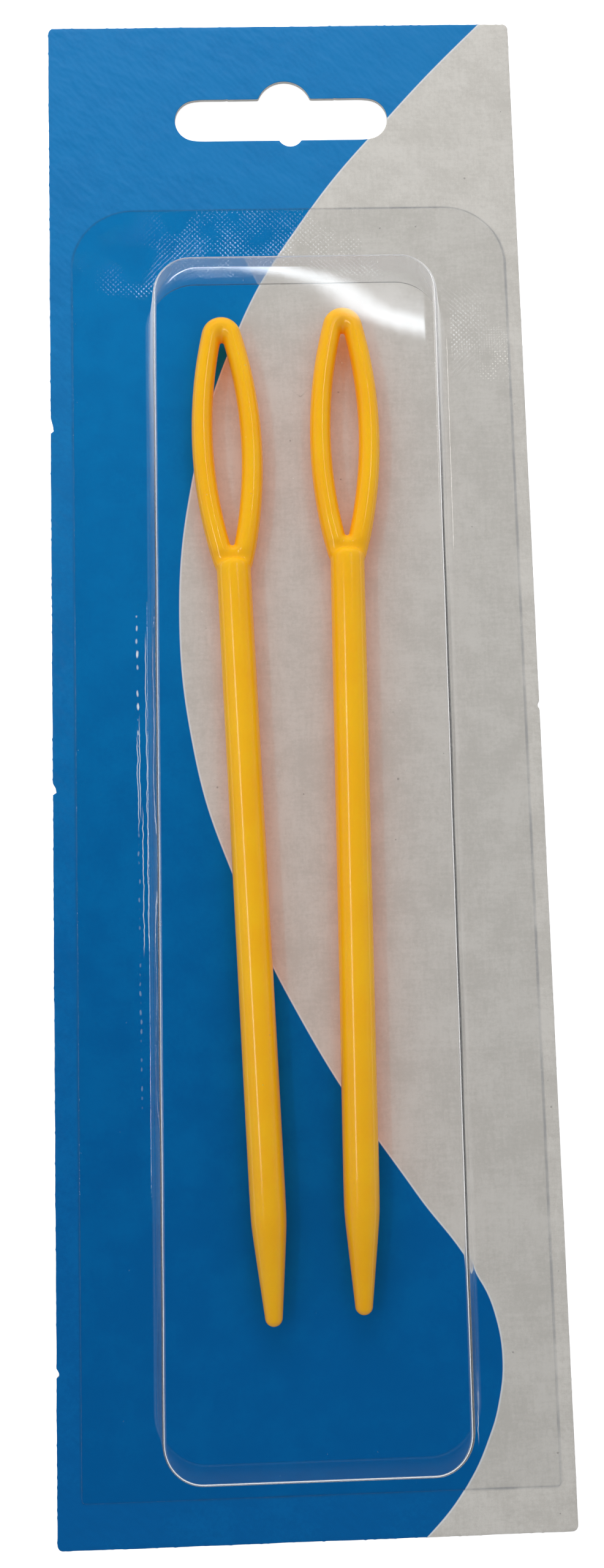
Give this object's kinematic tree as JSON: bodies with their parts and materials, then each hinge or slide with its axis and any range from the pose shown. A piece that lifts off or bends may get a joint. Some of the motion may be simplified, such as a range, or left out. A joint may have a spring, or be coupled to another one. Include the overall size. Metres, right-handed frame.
{
  "type": "carded yarn needle pack",
  "caption": "Hang-slot backing card with a clear blister holding loose yellow plastic yarn needles, each with a long lens-shaped eye, a round shaft and a blunt tapered tip.",
  "frame": {"origin": "centre of the card's back face, the face the pack lies on", "axes": "+Z out of the pack's front, +Y along the card towards the hang slot, +X to the right seen from the front"},
  "size_m": [0.07, 0.218, 0.0105],
  "materials": {
    "printed_card": "smooth print, semi-gloss lacquer",
    "clear_film": "clear thermoformed film, glossy",
    "needle_plastic": "glossy moulded, slightly translucent amber yellow"
  },
  "bodies": {
    "pack": {"backing_card": "printed_card", "blister": "clear_film"},
    "needle_left": {"needle_left": "needle_plastic"},
    "needle_right": {"needle_right": "needle_plastic"}
  },
  "joints": [
    {"name": "needle_left_slide", "type": "slide", "parent": "pack", "child": "needle_left", "axis": [-0.0311, 0.9995, 0], "range_m": [-0.0173, 0.0055]},
    {"name": "needle_right_slide", "type": "slide", "parent": "pack", "child": "needle_right", "axis": [0.0091, 1, 0], "range_m": [-0.0184, 0.0043]}
  ]
}
